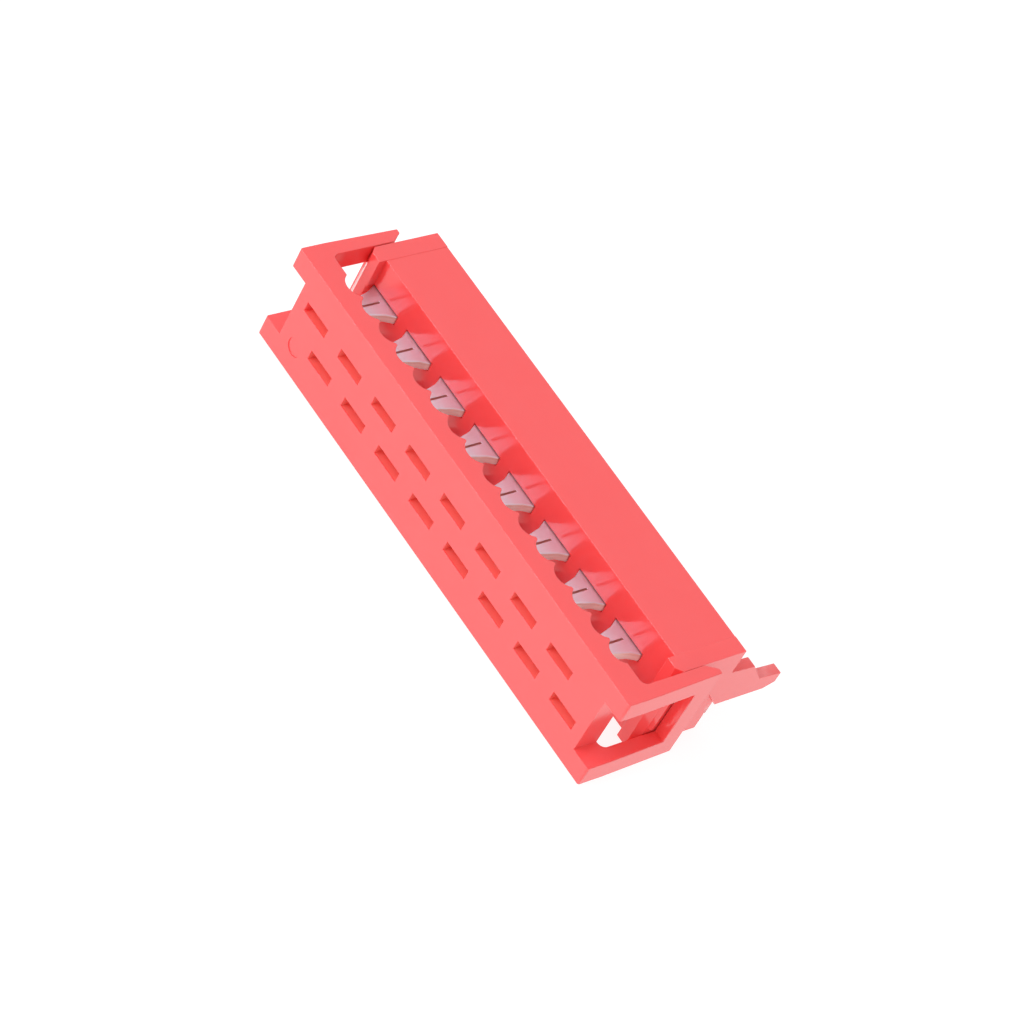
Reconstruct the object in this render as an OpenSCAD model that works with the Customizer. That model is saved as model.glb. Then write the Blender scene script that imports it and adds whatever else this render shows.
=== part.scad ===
// Ribbon cable plug for a board socket: two staggered rows of insulation-displacement contacts,
// with the cover in its open position, ready for the cable.
// X runs along the rows, Y from the cover's slot face to the mating side, Z through the thickness.
// The origin is the centre of the bounding box on the side that the plug lies on.

/* [Contact field] */
// Number of contacts, counted over both rows
positions = 16; // [6:2:24]
// Distance from one cable conductor to the next
pitch = 1.27; // [1.2:0.01:1.4]
// Distance between the two rows of contacts
row_gap = 1.5; // [1.3:0.05:1.8]

/* [Cover] */
// Thickness of the cover, which is the thickness of the plug
cover_w = 5; // [4.6:0.1:5.6]
// Depth of the cover's bar from the slot face to the cable face
bar_d = 1.2; // [1:0.05:1.5]
// Radius of the grooves that hold the conductors
groove_r = 0.66; // [0.6:0.01:0.75]
// Depth of the grooves in the cable face
groove_d = 0.35; // [0.2:0.01:0.45]
// Width of the ears and of the two bands of each latch arm
band_w = 1; // [0.7:0.05:1.2]
// Depth of the notch between the ears at each end of the bar
notch_d = 1; // [0.7:0.05:1.2]
// Radius of the ears' outer corners
ear_r = 0.1; // [0.05:0.05:0.4]
// Diameter of the round moulding mark on the slot face
mark_d = 0.85; // [0.5:0.05:1]
// Depth of the round moulding mark
mark_depth = 0.04; // [0.02:0.01:0.1]

/* [Latch arms] */
// Thickness of a latch arm at its root
arm_t = 0.66; // [0.5:0.02:0.9]
// Amount by which a latch arm is thinner at its tip
arm_draft = 0.1; // [0:0.02:0.15]
// Width of the cross band that closes each arm's window
cross_w = 0.92; // [0.7:0.02:1.3]
// Length of the lead-in slope inside an arm's tip
lead_l = 0.5; // [0.2:0.05:0.7]
// Depth of the lead-in slope
lead_t = 0.34; // [0.1:0.02:0.36]
// Radius of the corner between an arm and the cable face
root_r = 0.3; // [0.05:0.05:0.4]
// Running clearance between an arm and the housing's end
arm_clear = 0.03; // [0.02:0.01:0.1]

/* [Housing] */
// Open gap between the cover's cable face and the housing's
cable_gap = 2.25; // [1.9:0.01:2.5]
// Depth of the housing from its cable face to the mating edge
housing_d = 3.19; // [2.8:0.01:4]
// Distance of the housing's sides inside the cover's
housing_inset = 0.05; // [0.02:0.01:0.2]
// Distance from the last contact's centre to the housing's end
end_margin = 1.645; // [1.5:0.005:2]
// Thickness of the end walls
end_wall = 0.78; // [0.6:0.01:0.95]
// Thickness of the side walls round the mating cavity
side_wall = 0.6; // [0.4:0.05:0.8]
// Depth of the floor that carries the contacts
floor_d = 1.2; // [0.9:0.05:1.6]
// Height of the faint step where the side walls meet the end walls
wall_step = 0.02; // [0.01:0.005:0.05]
// Height of the end posts above the cable face
post_h = 0.38; // [0.3:0.01:0.55]
// Chamfer on the posts' outer corners
post_chamfer = 0.27; // [0.05:0.01:0.3]
// Gap left between cover and posts when the cover is pressed home
stop_gap = 0.05; // [0.02:0.01:0.1]

/* [Latch nubs] */
// Distance of a nub's catch face behind the cable face
nub_d = 0.07; // [0.05:0.01:0.5]
// Height of a nub above the housing's end
nub_h = 0.17; // [0.1:0.01:0.4]
// Length of a nub, slope included
nub_l = 0.17; // [0.12:0.01:0.45]
// Length of the level top of a nub
nub_top = 0.04; // [0.02:0.01:0.1]
// Gap between a nub and each band of its window
nub_side = 0.35; // [0.2:0.05:0.6]
// Gap between a nub's catch face and the cross band
catch_gap = 0.44; // [0.04:0.02:0.5]

/* [Polarising key] */
// Thickness of the key
key_t = 0.5; // [0.3:0.02:0.6]
// Width of the key at its root
key_w = 2.2; // [1.6:0.05:2.6]
// Reach of the key beyond the mating edge
key_reach = 3.46; // [2.6:0.02:4]
// Length of the key's wide part
key_shoulder = 1.3; // [0.8:0.05:1.5]
// Length of the slope from the wide part to the nose
key_slope = 0.9; // [0.5:0.05:1]
// Width of the key's nose
nose_w = 0.95; // [0.7:0.05:1.2]
// Amount by which the wide part and the nose narrow along their length
key_draft = 0.12; // [0:0.02:0.2]
// Length of the slope under the tip of the nose
nose_cut_l = 0.55; // [0.2:0.05:0.6]
// Height of the slope under the tip of the nose
nose_cut_h = 0.25; // [0.1:0.05:0.4]
// Reach of the foot that backs the key below its lower edge
foot_l = 0.44; // [0.2:0.02:0.6]
// Height of the foot below the key's lower edge
foot_h = 0.85; // [0.4:0.05:0.95]
// Depth of the wedge-shaped relief between the key and the housing's end, down to the foot
relief_t = 0.2; // [0.05:0.01:0.3]
// Distance from the mating edge back to the relief's point
relief_l = 0.52; // [0.3:0.02:0.8]
// Height of the relief's point above the key's lower edge
relief_h = 1; // [0.5:0.05:1.3]
// Height of the relief below the key's lower edge
relief_drop = 0.55; // [0.3:0.05:0.7]
// Distance from the mating edge to where the key leaves the relief
relief_w = 0.3; // [0.1:0.02:0.4]

/* [Contacts] */
// Thickness of the contact strip
contact_t = 0.4; // [0.3:0.02:0.5]
// Width of a blade where it leaves the housing
blade_w = 1.8; // [1.5:0.05:2]
// Width of a blade above its sloped shoulders
neck_w = 1.36; // [1.2:0.02:1.6]
// Length of the sloped shoulders
neck_l = 0.39; // [0.1:0.01:0.4]
// Width over the two points of a blade
tip_w = 0.78; // [0.5:0.02:0.9]
// Depth of the points below the slot face when the cover is pressed home
tip_cover = 0.1; // [0.05:0.05:0.2]
// Width of the slit that takes the conductor
slit_w = 0.1; // [0.06:0.02:0.2]
// Distance from the end of the slit to the housing
slit_stop = 0.27; // [0.1:0.01:0.4]
// Length of the funnel at the slit's mouth
funnel_l = 0.3; // [0.1:0.05:0.5]
// Width of a blade's point
point_w = 0.06; // [0.04:0.01:0.1]
// Depth of the contact's shoulder in the floor
shoulder_d = 0.5; // [0.3:0.05:0.7]
// Width of the mating tab
tab_w = 0.7; // [0.5:0.05:0.9]
// Distance of the tab's end inside the mating edge
tab_inset = 0.34; // [0.1:0.02:0.8]
// Length of the slope at the tab's end
tab_lead_l = 0.35; // [0.1:0.05:0.5]
// Width of the slope at the tab's end
tab_lead_w = 0.15; // [0.05:0.05:0.2]
// Clearance round a contact in the housing and in the cover
contact_clear = 0.04; // [0.02:0.01:0.06]
// Play at each end of a slot beside a blade's neck
slot_play = 0.08; // [0.04:0.01:0.1]

/* [Hidden] */
$fn = 48;
overcut = 1;
sink = 0.3;
row_x = (positions - 1) * pitch / 2;
mid_z = cover_w / 2;
// Along X, measured from the middle of the plug
housing_x = row_x + end_margin;
cavity_x = housing_x - end_wall;
arm_x = housing_x + arm_clear;
cover_x = arm_x + arm_t;
// Along Y, measured from the slot face of the open cover
face_y = bar_d + cable_gap;
post_y = face_y - post_h;
floor_y = face_y + floor_d;
mate_y = face_y + housing_d;
catch_y = face_y + nub_d;
window_y = catch_y + catch_gap;
tip_y = window_y + cross_w;
reach_y = mate_y + key_reach;
// The cover travels until it meets the end posts
travel = cable_gap - post_h - stop_gap;
point_y = travel + tip_cover;
slit_y = face_y - slit_stop;
seat_y = face_y + shoulder_d;
tab_y = mate_y - tab_inset;
neck_y = face_y - neck_l;
// A slot takes a blade up to its shoulders
slot_l = neck_w + 2 * slot_play;
slot_w = contact_t + 2 * contact_clear;
// Lower and upper edge of the key's wide part
key_low = mid_z - key_w / 2;
key_high = mid_z + key_w / 2;
// Moulding mark, outside the first slot of the lower row
mark_x = -row_x - pitch / 4;
mark_z = mid_z - row_gap / 2 - slot_w;

function contact_x(i) = i * pitch - row_x;
function contact_z(i) = mid_z + (i % 2 == 0 ? row_gap : -row_gap) / 2;
function contact_name(i) = str("contact_", i < 9 ? "0" : "", i + 1);
function mirrored(p) = [for (i = [len(p) - 1:-1:0]) [-p[i].x, p[i].y]];

// Moves a piece from the slot face's frame to the plug's own origin
module place() {
    translate([0, -reach_y / 2, 0]) children();
}

module both_ends() {
    children();
    mirror([1, 0, 0]) children();
}

// A box centred on X and on the mid plane, from y0 to y1
module centred_box(l, y0, y1, h) {
    translate([-l / 2, y0, mid_z - h / 2]) cube([l, y1 - y0, h]);
}

// Extrudes a plan outline through the cover's thickness, less an inset on each side
module through(inset) {
    translate([0, 0, inset]) linear_extrude(cover_w - 2 * inset) children();
}

// Plan of one latch arm: thinner towards its tip, with a lead-in slope inside
module arm_plan() {
    polygon([[arm_x, 0], [cover_x, 0], [cover_x, bar_d], [cover_x - arm_draft, tip_y],
             [arm_x + lead_t, tip_y], [arm_x, tip_y - lead_l]]);
}

// Corner of radius r between two walls, filled at the origin towards -X and +Y
module corner_plan(r) {
    difference() {
        translate([-r, 0]) square(r);
        translate([-r, r]) circle(r);
    }
}

module cover() {
    place() color("tomato") difference() {
        union() {
            through(0) translate([-cover_x, 0]) square([2 * cover_x, bar_d]);
            both_ends() through(0) arm_plan();
            both_ends() through(0) translate([arm_x, bar_d]) corner_plan(root_r);
        }
        // Conductor grooves, contact slots and the moulding mark
        for (i = [0:positions - 1]) translate([contact_x(i), 0, 0]) {
            translate([0, bar_d - groove_d + groove_r, -overcut])
                cylinder(r = groove_r, h = cover_w + 2 * overcut);
            translate([-slot_l / 2, -overcut, contact_z(i) - slot_w / 2])
                cube([slot_l, bar_d + 2 * overcut, slot_w]);
        }
        translate([mark_x, mark_depth, mark_z]) rotate([90, 0, 0]) cylinder(d = mark_d, h = overcut);
        // Notch between the ears, open into the arm's window
        both_ends() translate([cover_x - notch_d, -overcut, band_w])
            cube([notch_d + overcut, window_y + overcut, cover_w - 2 * band_w]);
        // Rounded outer corners of the ears
        both_ends() through(-overcut) translate([cover_x, 0]) corner_plan(ear_r);
    }
}

// Plan of one end wall with the post that stops the cover
module end_plan() {
    polygon([[cavity_x, post_y], [housing_x - post_chamfer, post_y],
             [housing_x, post_y + post_chamfer], [housing_x, mate_y], [cavity_x, mate_y]]);
}

// Plan of one latch nub: a slope that lifts the arm, and a square catch face
module nub_plan() {
    polygon([[housing_x - sink, catch_y - nub_l], [housing_x, catch_y - nub_l],
             [housing_x + nub_h, catch_y - nub_top], [housing_x + nub_h, catch_y],
             [housing_x - sink, catch_y]]);
}

// Side view of the polarising key: a wide root, a slope and a narrow nose
module key_side() {
    nose = key_low + nose_w;
    polygon([[mate_y - sink, key_low], [reach_y - nose_cut_l, key_low], [reach_y, key_low + nose_cut_h],
             [reach_y, nose - key_draft], [mate_y + key_shoulder + key_slope, nose],
             [mate_y + key_shoulder, key_high - key_draft], [mate_y - sink, key_high]]);
}

// Side view of the foot that backs the key, set in from the housing's end
module foot_side() {
    translate([mate_y - sink, key_low - foot_h]) square([sink + foot_l, foot_h + sink]);
}

// Side view of the wedge-shaped relief between the key and the housing's end
module relief_side() {
    polygon([[mate_y - relief_l, key_low + relief_h], [mate_y, key_low - relief_drop],
             [mate_y + relief_w, key_low - relief_drop], [mate_y + relief_w, key_low]]);
}

// Extrudes a side view from x0 to x1
module sideways(x0, x1) {
    translate([x0, 0, 0]) rotate([90, 0, 90]) linear_extrude(x1 - x0) children();
}

module housing() {
    place() color("tomato") difference() {
        union() {
            centred_box(2 * (cavity_x + sink), face_y, mate_y, cover_w - 2 * (housing_inset + wall_step));
            both_ends() through(housing_inset) end_plan();
            both_ends() through(band_w + nub_side) nub_plan();
            sideways(housing_x - key_t, housing_x) key_side();
            sideways(housing_x - key_t, housing_x - relief_t) foot_side();
        }
        sideways(housing_x - relief_t, housing_x + overcut) relief_side();
        // Mating cavity
        centred_box(2 * cavity_x, floor_y, mate_y + overcut, cover_w - 2 * (housing_inset + side_wall));
        // Seats for the contacts: a pocket for the shoulders and a slot for the tab
        for (i = [0:positions - 1]) translate([contact_x(i), 0, contact_z(i) - mid_z]) {
            centred_box(blade_w + 2 * contact_clear, post_y - overcut, seat_y, slot_w);
            centred_box(tab_w + 2 * contact_clear, seat_y - sink, floor_y + overcut, slot_w);
        }
    }
}

// Right half of a contact's outline, from the slit's end round to the tab's end
contact_half = [
    [slit_w / 2, slit_y],
    [slit_w / 2, point_y + funnel_l],
    [tip_w / 2 - point_w, point_y],
    [tip_w / 2, point_y],
    [neck_w / 2, neck_y],
    [blade_w / 2, face_y],
    [blade_w / 2, seat_y],
    [tab_w / 2, seat_y],
    [tab_w / 2, tab_y - tab_lead_l],
    [tab_w / 2 - tab_lead_w, tab_y]
];

module contact(i) {
    place() color("silver") translate([contact_x(i), 0, contact_z(i) - contact_t / 2])
        linear_extrude(contact_t) polygon(concat(contact_half, mirrored(contact_half)));
}

cover();
housing();
for (i = [0:positions - 1]) contact(i);
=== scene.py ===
# %% [markdown]
# # Dressing a ribbon-cable plug
# The object is a small plug for flat ribbon cable. It lies on its side, with its slotted cover held
# open by two latch arms and its forked contacts waiting for the cable. The solids come from CAD and
# stay as they are. This file gives them what a solid model lacks: softly moulded edges, red plastic,
# tin plate with sheared edges, a pale floor, light and a camera.

# %% Load the frame
import math

import bpy
from mathutils import Matrix, Vector


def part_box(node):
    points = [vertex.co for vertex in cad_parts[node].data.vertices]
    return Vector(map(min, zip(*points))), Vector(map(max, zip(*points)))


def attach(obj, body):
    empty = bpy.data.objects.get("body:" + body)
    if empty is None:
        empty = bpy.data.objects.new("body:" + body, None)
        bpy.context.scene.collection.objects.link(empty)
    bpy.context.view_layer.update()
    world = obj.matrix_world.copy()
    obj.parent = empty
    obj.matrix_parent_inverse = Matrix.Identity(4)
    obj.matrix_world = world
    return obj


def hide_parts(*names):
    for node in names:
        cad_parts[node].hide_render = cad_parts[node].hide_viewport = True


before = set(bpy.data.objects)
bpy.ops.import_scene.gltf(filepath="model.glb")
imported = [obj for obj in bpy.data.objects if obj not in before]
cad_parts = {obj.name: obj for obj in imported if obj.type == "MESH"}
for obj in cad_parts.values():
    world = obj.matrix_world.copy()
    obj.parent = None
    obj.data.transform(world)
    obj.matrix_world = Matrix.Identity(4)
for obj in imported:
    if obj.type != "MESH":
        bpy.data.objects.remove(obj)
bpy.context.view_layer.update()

# %% [markdown]
# ## Sizes and colours
# Blender works in metres, and this part is 24 mm long, so lengths are written in millimetres and one
# short function turns them into metres. Colours are written as the hex codes that a designer picks
# on a screen. Shaders want linear light, so a second function converts them. A third adds a node
# with its settings and links, which keeps each material down to a few readable lines.

# %% Millimetres and hex colours
def mm(length):
    """A length in millimetres, in metres."""
    return length / 1000


def linear(code):
    """An sRGB hex colour as the linear RGBA that a shader reads."""
    channels = [int(code[i:i + 2], 16) / 255 for i in (1, 3, 5)]
    return [c / 12.92 if c <= 0.04045 else ((c + 0.055) / 1.055) ** 2.4 for c in channels] + [1.0]


PITCH = mm(1.27)
print("one cable pitch in metres:", PITCH)

# %% Nodes and materials
def add_node(tree, kind, inputs=None, **settings):
    """Adds a node with its settings. An input is a value, or the output socket that feeds it."""
    node = tree.nodes.new(kind)
    for name, value in settings.items():
        setattr(node, name, value)
    for socket, value in (inputs or {}).items():
        if isinstance(value, bpy.types.NodeSocket):
            tree.links.new(value, node.inputs[socket])
        else:
            node.inputs[socket].default_value = value
    return node


def new_material(name):
    """An empty node material, and its output node."""
    material = bpy.data.materials.new(name)
    material.use_nodes = True
    material.node_tree.nodes.clear()
    return material, add_node(material.node_tree, "ShaderNodeOutputMaterial")


# %% [markdown]
# ## Copies of the solids that can be rounded
# A CAD solid arrives as loose triangles with knife-sharp edges. On a moulding every edge has a small
# radius that catches a thin line of light, and this line tells the eye how big the part is. The edges
# could be rounded in CAD, but a few hundredths of a millimetre only matter to the eye. So the mesh is
# copied, its triangles are joined, and flat areas are dissolved into single faces. The solid itself
# stays untouched, and the copy stands in for it.

# %% Copy and join
def joined_copy(node, name):
    """A copy of a CAD node as a new object, with its triangles merged into flat faces."""
    bpy.ops.object.select_all(action="DESELECT")
    piece = bpy.data.objects.new(name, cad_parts[node].data.copy())
    piece.data.name = name
    piece.data.materials.clear()
    bpy.context.scene.collection.objects.link(piece)
    piece.select_set(True)
    bpy.context.view_layer.objects.active = piece
    bpy.ops.mesh.customdata_custom_splitnormals_clear()
    bpy.ops.object.mode_set(mode="EDIT")
    bpy.ops.mesh.select_all(action="SELECT")
    bpy.ops.mesh.remove_doubles(threshold=mm(0.0005))
    bpy.ops.mesh.dissolve_limited(angle_limit=math.radians(0.5))
    bpy.ops.object.mode_set(mode="OBJECT")
    print(name, "starts with", len(piece.data.polygons), "flat faces")
    return piece


# %% [markdown]
# A Bevel modifier rounds the edges. It takes a weight from each edge, so that an edge can be left
# sharp: a step shallower than the radius would otherwise fold over. Inner corners stay sharp too,
# because a mould's radius there is too small to show. To tell an inner corner from an outer edge, each
# face gives the direction that leads from the edge into it. On an outer edge, the way into one face
# goes below the other. Weighted normals then keep the flat faces flat, and the light turns only on
# the rounds.

# %% Round the edges
def weigh_edges(piece, weight_of, sharper_than=35):
    """Gives each sharp outer edge the weight that weight_of finds from its two ends."""
    mesh = piece.data
    sides = {}
    for face in mesh.polygons:
        corners = list(face.vertices)
        for start, end in zip(corners, corners[1:] + corners[:1]):
            along = mesh.vertices[end].co - mesh.vertices[start].co
            key = (min(start, end), max(start, end))
            sides.setdefault(key, []).append((face.normal, face.normal.cross(along)))
    weights = mesh.attributes.new("bevel_weight_edge", "FLOAT", "EDGE")
    for edge in mesh.edges:
        around = sides.get(edge.key, [])
        if len(around) != 2:
            continue
        (normal, _), (other_normal, other_inward) = around
        sharp = normal.angle(other_normal) > math.radians(sharper_than)
        if sharp and other_inward.dot(normal) < 0:
            ends = [mesh.vertices[i].co for i in edge.vertices]
            weights.data[edge.index].value = weight_of(ends[0], ends[1])


def round_edges(piece, radius, steps=2, smooth_below=50):
    """Rounds the weighted edges and shades the piece smooth, up to an angle in degrees."""
    bpy.context.view_layer.objects.active = piece
    bevel = piece.modifiers.new("moulded_edge", "BEVEL")
    bevel.width = radius
    bevel.segments = steps
    bevel.limit_method = "WEIGHT"
    bevel.use_clamp_overlap = False
    bpy.ops.object.modifier_apply(modifier=bevel.name)
    bpy.ops.object.shade_smooth_by_angle(angle=math.radians(smooth_below))
    flat = piece.modifiers.new("flat_faces", "WEIGHTED_NORMAL")
    flat.keep_sharp = True
    bpy.ops.object.modifier_apply(modifier=flat.name)
    print(piece.name, "has", len(piece.data.polygons), "faces once rounded")


# %% [markdown]
# ## The cover
# The cover is the slotted bar with an arm at each end. Its inner face is scalloped, one groove for
# each conductor, and a slot behind each groove takes the points of a contact. Near the far end of the
# slot face is a shallow round mark from the mould. The mark is only 0.04 mm deep, so its rim stays
# sharp. The rest gets a radius that shows as a thin bright line. The crests between the grooves are
# narrow ribs that a mould can't fill to a knife edge, so they are a little rounder.

# %% Cover
EDGE = mm(0.03)
# Two places closer than this count as one.
NEAR = mm(0.01)
# Radius of the crests, and where they are: on the cable face, between the arms.
CREST, CREST_Y, BAR_X = mm(0.05), mm(-3.85), mm(10.4)
# The round mark lies within this circle, and in front of MARK_Y.
MARK_X, MARK_Z, MARK_R, MARK_Y = mm(-9.8425), mm(1.27), mm(0.5), mm(-4.9)


def cover_weight(a, b):
    """1 on the crests between the grooves, less on other edges, 0 on the rim of the round mark."""
    if all(math.hypot(p.x - MARK_X, p.z - MARK_Z) < MARK_R and p.y < MARK_Y for p in (a, b)):
        return 0.0
    on_crest = all(abs(p.y - CREST_Y) < NEAR and abs(p.x) < BAR_X for p in (a, b))
    return 1.0 if on_crest else EDGE / CREST


cover = joined_copy("cover", "cover_moulding")
weigh_edges(cover, cover_weight)
round_edges(cover, CREST)
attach(cover, "cover")
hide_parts("cover")

# %% [markdown]
# ## The housing
# The housing carries the contacts, and its other side is the socket that plugs into a header. Each
# end has a post and a latch nub, and the near end has the flat key that keeps the plug from going in
# the wrong way round. Where the side walls meet the end walls there is a step of 0.02 mm, which shows
# in the photograph as a faint line. Its edge gets half the radius. Edges that lie along an arm get a
# quarter of it: a full one would open a dark groove between the two pieces, and beside the nub it would
# run into the nub's foot.

# %% Housing
# The step: its place, its share of the radius, and the posts' foot, in front of which there is none.
STEP_X, STEP, POST_Y = mm(10.39), 0.5, mm(-1.5)
# The end faces: their place, the share of the radius beside an arm, and how far back that reaches.
END_X, SEAM, SEAM_Y = mm(11.17), 0.25, mm(-1.6)
# The two large sides are further than SIDE_Z from the middle of the thickness.
MIDDLE_Z, SIDE_Z = mm(2.5), mm(2.4)


def both_at(a, b, distance):
    """Whether both ends of an edge are at this distance from the middle, along the rows."""
    return all(abs(abs(p.x) - distance) < NEAR for p in (a, b))


def housing_weight(a, b):
    """1 for a moulded edge, less beside an arm or a nub and along the step on the two large sides."""
    on_side = abs(a.z - b.z) < NEAR and abs(a.z - MIDDLE_Z) > SIDE_Z
    if on_side and both_at(a, b, STEP_X) and abs(a.x - b.x) < NEAR:
        return STEP if max(a.y, b.y) > POST_Y else 1.0
    beside_arm = both_at(a, b, END_X) and min(a.y, b.y) < SEAM_Y
    return SEAM if beside_arm else 1.0


housing = joined_copy("housing", "housing_moulding")
weigh_edges(housing, housing_weight)
round_edges(housing, EDGE)
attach(housing, "housing")
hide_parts("housing")

# %% [markdown]
# ## The contacts
# A contact is stamped from tinned strip: two points, a narrow slit that bites through the insulation,
# sloped shoulders and a tab. The punch pulls the upper edge down into a small round and leaves the
# lower edge nearly square, so the two get different weights. The flat sides keep the plating, and the
# cut sides have lost it, so each face notes which of two materials it takes. All sixteen contacts
# are alike. One is modelled, and each of the others is a copy with its own mesh, moved by the distance
# between the CAD nodes.

# %% The rounds of a contact
# The punch's round on the upper edge, and the shares of it that each kind of edge gets.
DIE_ROLL = mm(0.06)
UPPER, LOWER, UPRIGHT = 1.0, 0.3, 0.15
# Everything closer than this to a contact's middle line is part of its slit.
SLIT = mm(0.06)
contact_nodes = sorted(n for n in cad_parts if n.startswith("contact_"))
first_low, first_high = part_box(contact_nodes[0])
middle_x = (first_low.x + first_high.x) / 2
middle_z = (first_low.z + first_high.z) / 2


def contact_weight(a, b):
    """1 along the punched upper edge, less along the lower edge, least in the slit and upright."""
    if min(abs(a.x - middle_x), abs(b.x - middle_x)) < SLIT:
        return UPRIGHT
    if a.z > middle_z and b.z > middle_z:
        return UPPER
    if a.z < middle_z and b.z < middle_z:
        return LOWER
    return UPRIGHT


strip = joined_copy(contact_nodes[0], "contact_strip_01")
weigh_edges(strip, contact_weight, sharper_than=15)
round_edges(strip, DIE_ROLL, steps=3)

# %% Sixteen contacts
# A face is plated if its normal points this much up or down. 0 is the plating, 1 the cut metal.
PLATED = 0.3
for face in strip.data.polygons:
    face.material_index = 0 if abs(face.normal.z) > PLATED else 1
contacts = [strip]
for number, node in enumerate(contact_nodes[1:], start=2):
    contact = strip.copy()
    contact.data = strip.data.copy()
    contact.name = contact.data.name = f"contact_strip_{number:02d}"
    contact.data.transform(Matrix.Translation(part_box(node)[0] - first_low))
    bpy.context.scene.collection.objects.link(contact)
    contacts.append(contact)
for contact, node in zip(contacts, contact_nodes):
    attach(contact, "housing")
    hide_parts(node)
print(len(contacts), "contacts")

# %% [markdown]
# ## Red polyester
# Cover and housing are moulded in red thermoplastic polyester. To the eye it is a strong, slightly pink
# red with a fairly sharp gloss: the faces behind the contacts mirror them, and the upright faces pick
# up the white of the table. Light also sinks a little way into it, which warms the slots. A single
# colour would look like paint, so a soft cloud moves the colour and the gloss a little, as uneven
# cooling does, and a fine grain breaks the mirror. The slot walls get a paler red, which is painted
# light that stands in for the light reaching down into the slots. These walls are found by their
# place: the only surfaces inside the block that holds both rows of slots.

# %% Colour of the red plastic
# The middle and half the size of the block of slots, in mm. It starts just below the slot face.
SLOT_BLOCK = {"X": (0.0, 10.2), "Y": (-4.62, 0.38), "Z": (2.5, 1.1)}
red, output = new_material("red moulded polyester")
tree = red.node_tree
place = add_node(tree, "ShaderNodeTexCoord").outputs["Object"]
cloud = add_node(tree, "ShaderNodeTexNoise", {"Vector": place, "Scale": 1 / mm(1.5), "Detail": 3.0})
tint = add_node(tree, "ShaderNodeMix",
                {"Factor": cloud.outputs["Fac"], "A": linear("#FD5556"), "B": linear("#FE5A5B")},
                data_type="RGBA")
axes = add_node(tree, "ShaderNodeSeparateXYZ", {"Vector": place})
# The mask of the slot walls, where painted light makes the red paler.
painted_slot_light = 1.0
for axis, (middle, reach) in SLOT_BLOCK.items():
    within = add_node(tree, "ShaderNodeMath",
                      {0: axes.outputs[axis], 1: mm(middle), 2: mm(reach)}, operation="COMPARE")
    both = add_node(tree, "ShaderNodeMath", {0: within.outputs["Value"], 1: painted_slot_light},
                    operation="MULTIPLY")
    painted_slot_light = both.outputs["Value"]
# Painted light: a paler red on the slot walls stands in for the light that reaches into the slots.
colour = add_node(tree, "ShaderNodeMix",
                  {"Factor": painted_slot_light, "A": tint.outputs["Result"], "B": linear("#FC756C")},
                  data_type="RGBA")

# %% Gloss and grain of the red plastic
gloss = add_node(tree, "ShaderNodeMapRange",
                 {"Value": cloud.outputs["Fac"], "To Min": 0.12, "To Max": 0.2})
# The grain of the polished mould is far finer than a pixel, so it is drawn at 0.12 mm.
grain = add_node(tree, "ShaderNodeTexNoise", {"Vector": place, "Scale": 1 / mm(0.12), "Detail": 2.0})
skin = add_node(tree, "ShaderNodeBump",
                {"Height": grain.outputs["Fac"], "Strength": 0.12, "Distance": mm(0.003)})
plastic = add_node(tree, "ShaderNodeBsdfPrincipled",
                   {"Base Color": colour.outputs["Result"], "Roughness": gloss.outputs["Result"],
                    "IOR": 1.6, "Normal": skin.outputs["Normal"], "Subsurface Weight": 0.25,
                    "Subsurface Radius": (1.0, 0.35, 0.3), "Subsurface Scale": mm(0.5)})
tree.links.new(plastic.outputs["BSDF"], output.inputs["Surface"])
for piece in (cover, housing):
    piece.data.materials.append(red)
print("plastic:", red.name)

# %% [markdown]
# ## Tin plate
# The flat sides of a contact are plated with matt tin: a pale, soft-gloss metal that takes its colour
# from what stands around it, here the red of the housing. Rolling the strip left very fine lines along
# its length. A stretched noise gives them, in the gloss more than in the colour.

# %% Tin
tin, output = new_material("matt tin plate")
tree = tin.node_tree
place = add_node(tree, "ShaderNodeTexCoord").outputs["Object"]
# Rolling lines are a few micrometres apart, so they are drawn 0.06 mm wide and 1 mm long.
rolled = add_node(tree, "ShaderNodeMapping",
                  {"Vector": place, "Scale": (1 / mm(0.06), 1 / mm(1.0), 1 / mm(0.3))})
lines = add_node(tree, "ShaderNodeTexNoise",
                 {"Vector": rolled.outputs["Vector"], "Scale": 1.0, "Detail": 3.0})
shade = add_node(tree, "ShaderNodeMix",
                 {"Factor": lines.outputs["Fac"], "A": linear("#D9E4F0"), "B": linear("#E3ECF6")},
                 data_type="RGBA")
matt = add_node(tree, "ShaderNodeMapRange",
                {"Value": lines.outputs["Fac"], "To Min": 0.42, "To Max": 0.56})
plate = add_node(tree, "ShaderNodeBsdfPrincipled",
                 {"Base Color": shade.outputs["Result"], "Metallic": 1.0,
                  "Roughness": matt.outputs["Result"]})
tree.links.new(plate.outputs["BSDF"], output.inputs["Surface"])
print("plating:", tin.name)

# %% [markdown]
# ## Sheared bronze
# The strip was plated before it was punched, so its cut edges are phosphor bronze. The punch drags a
# thin smear of tin over them, and only a trace of the bronze colour shows. A sheared edge has two
# zones: the upper third is burnished by the punch, smooth and a little darker, and below it the metal
# broke away and is rough and pale. Both rows lie 1.5 mm apart, so one pattern that repeats every 1.5 mm
# of height serves them both. The walls of the slit take a pinker colour than the rest of the cut edge.
# The slits are one cable pitch apart, so the distance to the nearest one comes from a ping-pong of the
# position along the row. The tabs at the other end have no slit and are left out.

# %% Sheared edge
# Underside of the lower row, and the height from row to row.
STRIP_Z, ROW_GAP = mm(1.55), mm(1.5)
# The metal broke away up to about this height of the 0.4 mm strip, along a ragged line.
BREAK_LOW, BREAK_HIGH, RAGGED = mm(0.28), mm(0.32), mm(0.08)
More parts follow.
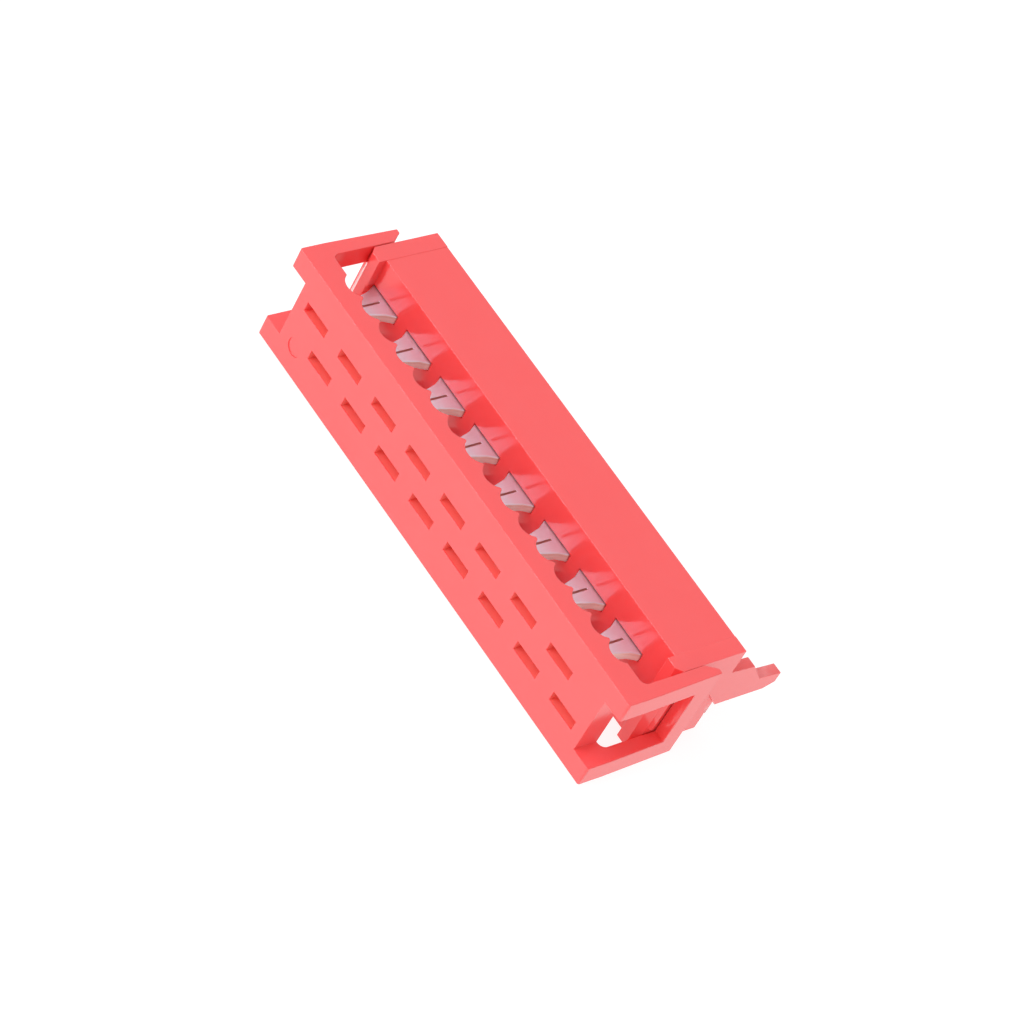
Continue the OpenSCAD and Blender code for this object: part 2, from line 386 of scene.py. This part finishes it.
# Distance of the first slit from the middle of the rows. Behind TAB_Y there is no slit.
FIRST_SLIT, TAB_Y = mm(9.525), mm(-1.7)
shear, output = new_material("sheared phosphor bronze")
tree = shear.node_tree
place = add_node(tree, "ShaderNodeTexCoord").outputs["Object"]
axes = add_node(tree, "ShaderNodeSeparateXYZ", {"Vector": place})
above = add_node(tree, "ShaderNodeMath", {0: axes.outputs["Z"], 1: STRIP_Z}, operation="SUBTRACT")
height = add_node(tree, "ShaderNodeMath", {0: above.outputs["Value"], 1: ROW_GAP},
                  operation="FLOORED_MODULO")
# The broken crystals are a few micrometres across, so they are drawn at 0.05 mm.
crystals = add_node(tree, "ShaderNodeTexNoise", {"Vector": place, "Scale": 1 / mm(0.05), "Detail": 2.0})
ragged = add_node(tree, "ShaderNodeMath",
                  {0: crystals.outputs["Fac"], 1: RAGGED, 2: height.outputs["Value"]},
                  operation="MULTIPLY_ADD")
zone = add_node(tree, "ShaderNodeMapRange",
                {"Value": ragged.outputs["Value"], "From Min": BREAK_LOW, "From Max": BREAK_HIGH})
bare = add_node(tree, "ShaderNodeMix",
                {"Factor": zone.outputs["Result"], "A": linear("#F6F4EE"), "B": linear("#E8DED4")},
                data_type="RGBA")

# %% Slit walls and the finished edge
along = add_node(tree, "ShaderNodeMath", {0: axes.outputs["X"], 1: FIRST_SLIT}, operation="ADD")
aside = add_node(tree, "ShaderNodeMath", {0: along.outputs["Value"], 1: PITCH / 2},
                 operation="PINGPONG")
beside = add_node(tree, "ShaderNodeMapRange",
                  {"Value": aside.outputs["Value"], "From Min": SLIT, "From Max": 2 * SLIT})
tab = add_node(tree, "ShaderNodeMath", {0: axes.outputs["Y"], 1: TAB_Y}, operation="GREATER_THAN")
outside = add_node(tree, "ShaderNodeMath", {0: beside.outputs["Result"], 1: tab.outputs["Value"]},
                   operation="MAXIMUM")
metal = add_node(tree, "ShaderNodeMix",
                 {"Factor": outside.outputs["Value"], "A": linear("#EFCDC8"),
                  "B": bare.outputs["Result"]},
                 data_type="RGBA")
torn = add_node(tree, "ShaderNodeMapRange",
                {"Value": zone.outputs["Result"], "To Min": 0.65, "To Max": 0.45})
rough = add_node(tree, "ShaderNodeBump",
                 {"Height": crystals.outputs["Fac"], "Strength": 0.5, "Distance": mm(0.008)})
edge = add_node(tree, "ShaderNodeBsdfPrincipled",
                {"Base Color": metal.outputs["Result"], "Metallic": 1.0,
                 "Roughness": torn.outputs["Result"], "Normal": rough.outputs["Normal"]})
tree.links.new(edge.outputs["BSDF"], output.inputs["Surface"])
for contact in contacts:
    contact.data.materials.append(tin)
    contact.data.materials.append(shear)
print("cut edge:", shear.name)

# %% [markdown]
# ## Floor
# In the photograph the plug lies on a light table, as for a catalogue: a white sheet that also glows
# from below, so that hardly any shadow is left. The sheet here is part paper and part glow. The paper
# keeps a faint shadow close to the plug. The glow lights the undersides and the upright faces as evenly
# as in the photograph. Where the camera or a mirror looks at the sheet, the glow is a little stronger,
# so that the open table is white. A short function makes such a strength, because the room behind the
# table needs one too.

# %% A strength for each kind of ray
def ray_strength(tree, light, camera, mirror):
    """A strength that differs for light, for the camera, and for a mirror or a view through glass."""
    path = add_node(tree, "ShaderNodeLightPath")
    mirrored = add_node(tree, "ShaderNodeMath",
                        {0: path.outputs["Is Glossy Ray"], 1: path.outputs["Is Transmission Ray"]},
                        operation="MAXIMUM")
    seen = add_node(tree, "ShaderNodeMath",
                    {0: path.outputs["Is Camera Ray"], 1: camera - light, 2: light},
                    operation="MULTIPLY_ADD")
    both = add_node(tree, "ShaderNodeMath",
                    {0: mirrored.outputs["Value"], 1: mirror - light, 2: seen.outputs["Value"]},
                    operation="MULTIPLY_ADD")
    return both.outputs["Value"]


# %% Floor
# The strength of the table's glow as light, to the camera and to a mirror. A strength of 1 is white.
TABLE = (0.75, 0.85, 1.0)
bpy.ops.object.select_all(action="DESELECT")
bpy.ops.mesh.primitive_plane_add(size=2, location=(0, 0, 0))
floor = bpy.context.active_object
floor.name = "floor"
white, output = new_material("white light table")
tree = white.node_tree
glow = add_node(tree, "ShaderNodeEmission",
                {"Color": linear("#FFFFFF"), "Strength": ray_strength(tree, *TABLE)})
sheet = add_node(tree, "ShaderNodeBsdfDiffuse", {"Color": linear("#8C8C8C")})
table = add_node(tree, "ShaderNodeAddShader", {0: sheet.outputs["BSDF"], 1: glow.outputs["Emission"]})
tree.links.new(table.outputs["Shader"], output.inputs["Surface"])
floor.data.materials.append(white)
print("floor:", white.name)

# %% [markdown]
# ## Light
# The photograph has no hard shadow and nearly the same soft light on every side. So a pale room gives
# most of the light. The camera sees it as white as the table, and mirrors nearly so. A small softbox
# stands high in front and to the left, where the tops of the contacts mirror it and the edges catch it.
# It is a little cool, which gives the tin its lilac tone. A large low softbox in front lights the slot
# face and reaches into the gap and the slots. It is a little warm.

# %% Room
# The strength of the room as light, to the camera and to a mirror.
ROOM = (0.74, 1.0, 0.88)
scene = bpy.context.scene
scene.view_settings.view_transform = "Standard"
world = bpy.data.worlds.new("studio")
scene.world = world
world.use_nodes = True
tree = world.node_tree
room = tree.nodes["Background"]
room.inputs["Color"].default_value = linear("#FFFFFF")
tree.links.new(ray_strength(tree, *ROOM), room.inputs["Strength"])
print("room:", world.name)

# %% Softboxes
def softbox(name, direction, distance, size, level, code):
    """A square lamp of a colour that lights a facing white surface to level, where 1 is white."""
    lamp = bpy.data.lights.new(name, "AREA")
    lamp.size = size
    lamp.color = linear(code)[:3]
    # A lamp of P watts shows a white surface at distance d as about P / (pi * d) ** 2.
    lamp.energy = level * math.pi ** 2 * distance ** 2
    holder = bpy.data.objects.new(name, lamp)
    bpy.context.scene.collection.objects.link(holder)
    away = Vector(direction).normalized()
    holder.location = away * distance
    holder.rotation_euler = away.to_track_quat("Z", "Y").to_euler()
    print(name, "gives", round(lamp.energy, 2), "W")


softbox("key_softbox", (-0.395, -0.62, 0.68), distance=0.5, size=0.3, level=0.38, code="#E6EBFF")
softbox("front_softbox", (-0.1, -0.95, 0.3), distance=0.5, size=0.6, level=0.36, code="#FFFCE0")

# %% [markdown]
# ## Camera
# The camera stands where the photograph was taken from. Its place, turn and focal length were found by
# fitting the corners of the part, with the 1.27 mm cable pitch as the scale.

# %% Camera
camera_data = bpy.data.cameras.new("camera")
camera_data.lens = 140.663
camera_data.sensor_width = 36
camera_data.clip_start = 0.01
camera = bpy.data.objects.new("camera", camera_data)
scene.collection.objects.link(camera)
right = Vector((0.5375, 0.7535, 0.3787))
down = Vector((0.7450, -0.2139, -0.6319))
back = Vector((0.3951, -0.6217, 0.6763))
turn = Matrix((right, -down, back)).transposed()
stand = (mm(62.90), mm(-99.32), mm(108.54))
camera.matrix_world = Matrix.Translation(stand) @ turn.to_4x4()
scene.camera = camera
print("camera:", round(camera_data.lens, 1), "mm lens")
